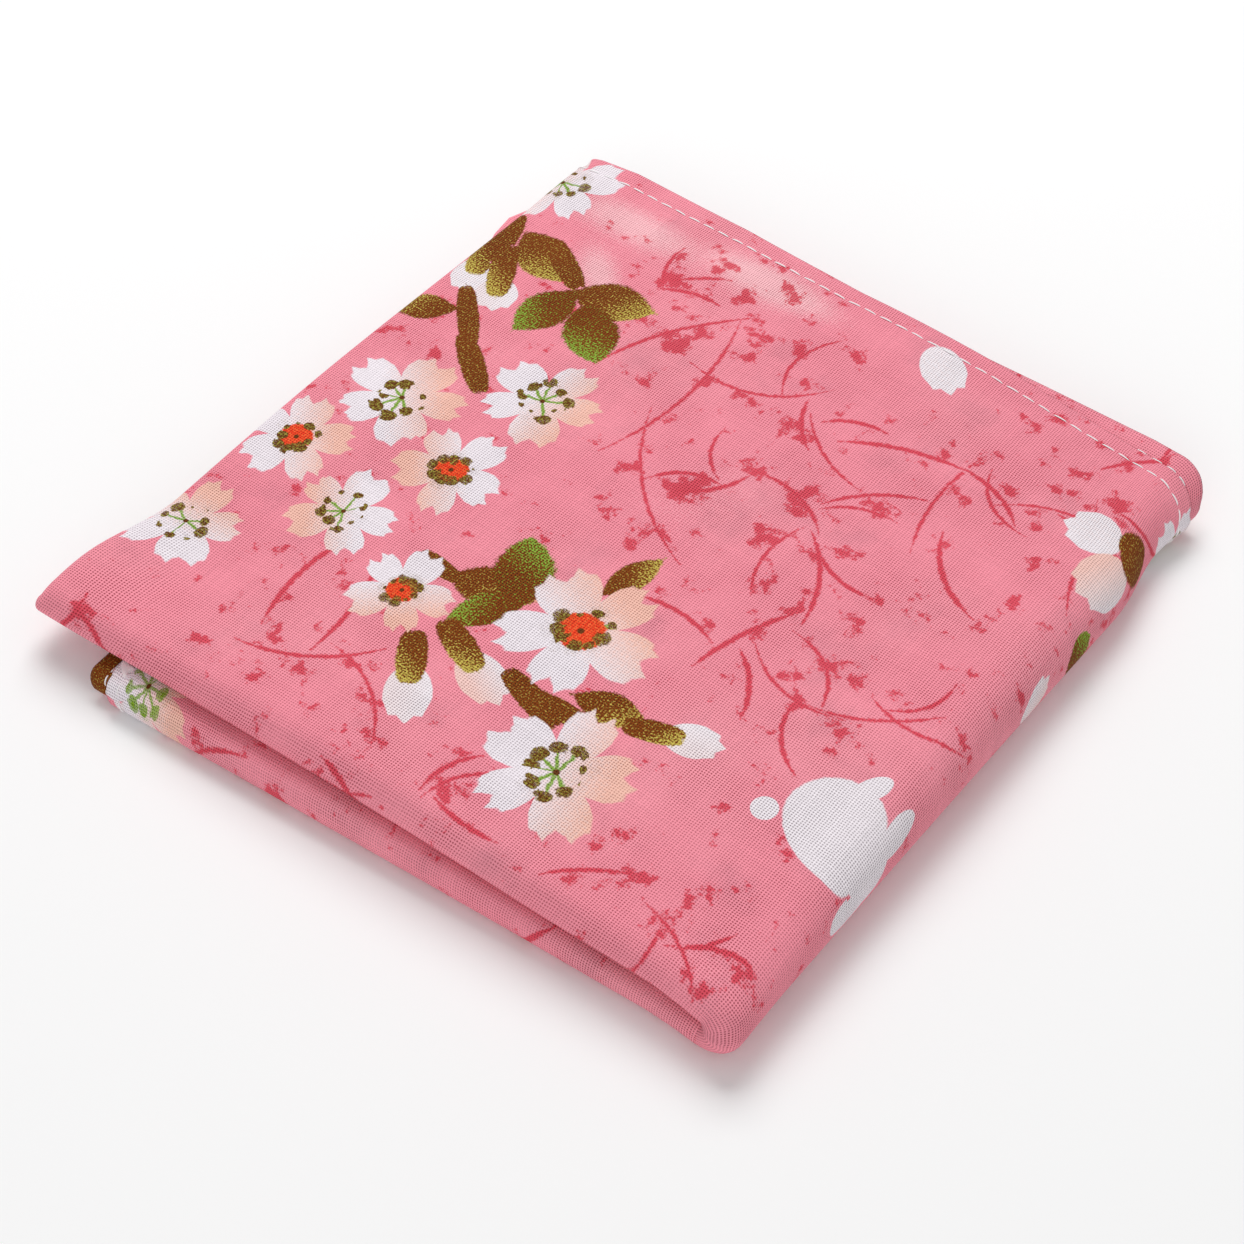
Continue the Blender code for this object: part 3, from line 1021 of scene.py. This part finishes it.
def weave(tree, fields, colour):
    """The colour and the bump of plain weave. There is a hole between each pair of crossing
    threads, which is a cosine hill along the warp times one along the weft, and threads pass
    over and under by turns. The holes carry painted shade: they take the square of the colour,
    darkened, as light that reaches into a hole meets dyed thread twice."""
    drift = add(tree, NOISE, {"Vector": fields["mm"], "Scale": 0.5, "Detail": 2.0})
    drift = add(tree, "SUBTRACT", (drift, 0.5))
    across = add(tree, SPLIT, (fields["mm"],))
    hills, turns = [], []
    for axis, pitch in ((0, WARP_PITCH), (1, WEFT_PITCH)):
        phase = add(tree, "MULTIPLY", (across.outputs[axis], math.tau / pitch))
        phase = add(tree, "MULTIPLY_ADD", (drift, 4.5, phase))
        wave = add(tree, "COSINE", (phase,))
        hills.append(add(tree, RANGE, (wave, -1.0)))
        half_phase = add(tree, "MULTIPLY", (phase, 0.5))
        turns.append(add(tree, "SINE", (half_phase,)))
    hole = add(tree, "MULTIPLY", (hills[0], hills[1]))
    # Slubs: long streaks along each set of threads. And painted shade in the holes, which varies in
    # strength from place to place.
    slubs = []
    for stretch in ((1 / WARP_PITCH, 0.06, 0.0), (0.06, 1 / WEFT_PITCH, 0.0)):
        threads = add(tree, VECTOR, (fields["mm"], stretch), operation="MULTIPLY")
        slubs.append(add(tree, NOISE, {"Vector": threads, "Scale": 1.0, "Detail": 1.0}))
    streak = add(tree, "ADD", (slubs[0], slubs[1]))
    streak = add(tree, "SUBTRACT", (streak, 1.0))
    hole_shade_strength = add(tree, NOISE, {"Vector": fields["mm"], "Scale": 0.09, "Detail": 3.0})
    hole_shade_strength = add(tree, RANGE, (hole_shade_strength, 0.3, 0.7, 0.55, 1.25))
    # How strong the painted shade is in each hole.
    hole_shade = add(tree, "MULTIPLY", (hole, hole_shade_strength))
    over = add(tree, "MULTIPLY", (turns[0], turns[1]))
    shade = add(tree, "MULTIPLY_ADD", (streak, 0.15, 1.06))
    shade = add(tree, "MULTIPLY_ADD", (fields["bleed"], 0.30, shade))
    woven = add(tree, VECTOR, {0: colour, "Scale": shade}, operation="SCALE")
    # Painted shade for the holes between threads: the square of the colour, darkened.
    shaded_hole_colour = add(tree, VECTOR, (colour, colour), operation="MULTIPLY")
    shaded_hole_colour = add(tree, VECTOR, {0: shaded_hole_colour, "Scale": 0.35}, operation="SCALE")
    woven = add(tree, MIX, {FACTOR: hole_shade, FIRST: woven, SECOND: shaded_hole_colour.outputs[0]}, **RGBA)
    height = add(tree, "MULTIPLY", (over, 0.3))
    height = add(tree, "SUBTRACT", (height, hole))
    bump = add(tree, "ShaderNodeBump", {"Height": height, "Distance": 0.00006, "Strength": 0.8})
    return woven, bump


def principled(name, settings):
    """A new material, and its main shader with its constants set."""
    material = bpy.data.materials.new(name)
    material.use_nodes = True
    shader = material.node_tree.nodes["Principled BSDF"]
    for socket, value in settings.items():
        shader.inputs[socket].default_value = value
    return material, shader


def printed_cotton():
    """Plain-woven cotton lawn, printed: matt, with a faint fuzz, small holes between threads
    with painted shade in them that read as a fine grain, and dye that bleeds a little at the edge of each
    shape."""
    settings = {
        "Roughness": 0.85,
        "IOR": 1.47,
        "Specular IOR Level": 0.15,
        "Sheen Weight": 0.02,
        "Sheen Roughness": 0.5,
    }
    material, shader = principled("printed_cotton", settings)
    tree = material.node_tree
    fields = print_fields(tree)
    colour = print_ground(tree, fields)
    for layer in (print_reds, print_ovals, print_leaves, print_blossoms):
        colour = layer(tree, fields, colour)

    # Behind, on the wrong side, the print only shows through, paler.
    behind = add(tree, GIVEN, attribute_name="behind")
    behind = add(tree, "MULTIPLY", (behind.outputs["Fac"], 0.4))
    colour = add(tree, MIX, {FACTOR: behind, FIRST: colour, SECOND: linear("#F3E2E6")}, **RGBA)

    woven, bump = weave(tree, fields, colour)
    tree.links.new(woven.outputs[2], shader.inputs["Base Color"])
    tree.links.new(bump.outputs["Normal"], shader.inputs["Normal"])
    return material


def sewing_thread():
    """Spun polyester sewing thread, undyed white: a soft lustre and a slight twist."""
    material, shader = principled("sewing_thread", {"Roughness": 0.55, "IOR": 1.5})
    tree = material.node_tree
    place = add(tree, "ShaderNodeTexCoord")
    strand = add(tree, NOISE, {"Vector": place.outputs["Object"], "Scale": 4000.0, "Detail": 1.0})
    colour = add(tree, MIX, {FACTOR: strand, FIRST: linear("#F4ECEF"), SECOND: linear("#FFFFFF")}, **RGBA)
    bump = add(tree, "ShaderNodeBump", {"Height": strand, "Distance": 0.00003, "Strength": 0.5})
    tree.links.new(colour.outputs[2], shader.inputs["Base Color"])
    tree.links.new(bump.outputs["Normal"], shader.inputs["Normal"])
    return material


def stitches():
    """Short threads along the hems on both faces, in the flat cloth, with their heights.

    Each is a bead along its length: its section is an ellipse that shrinks to the ends by the
    root of one less the fourth power of the share along, and it dips into the cloth there.
    """
    run = np.arange(STITCH_INSET + STITCH_PITCH / 2, CLOTH_SIDE - STITCH_INSET, STITCH_PITCH)
    low, high = np.full_like(run, STITCH_INSET), np.full_like(run, CLOTH_SIDE - STITCH_INSET)
    centres = np.concatenate([np.stack([run, low], 1), np.stack([run, high], 1)])
    centres = np.concatenate([centres, np.stack([low, run], 1), np.stack([high, run], 1)])
    upright = np.arange(len(centres)) >= 2 * len(run)
    lean = STITCH_LEAN * np.sin(np.arange(len(centres)) * 2.4)
    heading = np.where(upright, math.pi / 2, 0.0) + lean
    along, around = np.meshgrid(np.linspace(-1, 1, 7), np.arange(6) * math.tau / 6, indexing="ij")
    section = np.sqrt(np.clip(1.0 - along**4, 0.0, 1.0))
    forward = along * STITCH_LENGTH / 2
    aside = np.cos(around) * section * THREAD_WIDTH / 2
    lift = np.sin(around) * section * THREAD_HEIGHT / 2
    lift = lift + STITCH_RISE * (1 - along**2) - STITCH_SINK
    cosine, sine = np.cos(heading)[:, None, None], np.sin(heading)[:, None, None]
    x = centres[:, 0, None, None] + forward * cosine - aside * sine
    y = centres[:, 1, None, None] - HALF_SIDE + forward * sine + aside * cosine
    face = np.stack([x.ravel(), y.ravel(), np.broadcast_to(-lift, x.shape).ravel()], 1)
    ahead = np.repeat(np.stack([~upright, upright], 1), along.size, axis=0)
    back = face[:, :2] + STITCH_PITCH / 2 * ahead
    back_height = np.broadcast_to(PLY + HEM_FULLNESS + lift, x.shape).ravel()
    points = np.concatenate([face, np.column_stack([back, back_height])])
    rows, sides = along.shape
    index = np.arange(rows * sides).reshape(rows, sides)
    a, b = index[:-1], np.roll(index, -1, 1)[:-1]
    c, d = np.roll(index, -1, 1)[1:], index[1:]
    quads = np.stack([a.ravel(), b.ravel(), c.ravel(), d.ravel()], 1)
    starts = np.arange(2 * len(centres)) * rows * sides
    faces = (quads[None] + starts[:, None, None]).reshape(-1, 4)
    faces[len(faces) // 2 :] = faces[len(faces) // 2 :, ::-1]
    return points, faces


grid_x, grid_y = cloth_grid()
flat_x, flat_y = grid_x.ravel(), grid_y.ravel()
flat_place = np.stack([flat_x, flat_y], 1)
waver_x, waver_y = wavered(flat_x, flat_y)
printed_face = np.stack([waver_x, waver_y, stitch_pull(flat_x, flat_y)], 1)
wrong_face = np.stack([waver_x, waver_y, PLY + hem_height(flat_x, flat_y)], 1)
cloth_points = folded(np.concatenate([printed_face, wrong_face]))
lowest = cloth_points[:, 2].min()
cloth_points[:, 2] -= lowest
cloth = piece_from("printed_cloth", cloth_points, faces_of(*grid_x.shape), printed_cotton())
write_print(cloth.data, np.concatenate([flat_place, flat_place]))

thread_points, thread_faces = stitches()
thread_points[:, 0], thread_points[:, 1] = wavered(thread_points[:, 0], thread_points[:, 1])
thread_points = folded(thread_points)
thread_points[:, 2] = np.maximum(thread_points[:, 2] - lowest, 0.0)
thread = piece_from("hem_stitches", thread_points, thread_faces, sewing_thread())

for piece in (cloth, thread):
    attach(piece, "root")
    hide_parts("cloth")


def studio_paper():
    """Matt white background paper, smooth: it gives an even pale ground with no gloss."""
    return principled("studio_paper", {"Base Color": linear("#FAFAFA"), "Roughness": 0.9})[0]


floor_corners = [(x * FLOOR_HALF, y * FLOOR_HALF, 0) for x, y in ((-1, -1), (1, -1), (1, 1), (-1, 1))]
floor = piece_from("floor", floor_corners, [(0, 1, 2, 3)], studio_paper())

bpy.context.scene.view_settings.view_transform = "Standard"
world = bpy.data.worlds.new("studio")
bpy.context.scene.world = world
world.use_nodes = True
sky = world.node_tree.nodes["Background"]
sky.inputs["Color"].default_value = linear("#FFFFFF")
sky.inputs["Strength"].default_value = SKY_STRENGTH


def softbox(name, power, size, place):
    """A square studio light at a place, aimed at the pad."""
    light = bpy.data.lights.new(name, "AREA")
    light.energy = power
    light.size = size
    lamp = bpy.data.objects.new(name, light)
    lamp.location = place
    lamp.rotation_euler = (-Vector(place)).to_track_quat("-Z", "Y").to_euler()
    bpy.context.scene.collection.objects.link(lamp)


softbox("key", 9.5, 0.7, (-0.45, 0.55, 0.95))
softbox("fill", 2.3, 0.8, (0.35, -0.90, 0.40))

azimuth, elevation = math.radians(CAMERA["azimuth"]), math.radians(CAMERA["elevation"])
camera_data = bpy.data.cameras.new("camera")
camera_data.lens = CAMERA["lens"]
camera_data.clip_start = 0.01
camera = bpy.data.objects.new("camera", camera_data)
level = math.cos(elevation)
towards = Vector((math.sin(azimuth) * level, -math.cos(azimuth) * level, math.sin(elevation)))
camera.location = Vector(CAMERA["aim"]) + towards * CAMERA["distance"]
camera.rotation_euler = (math.pi / 2 - elevation, 0.0, azimuth)
bpy.context.scene.collection.objects.link(camera)
bpy.context.scene.camera = camera
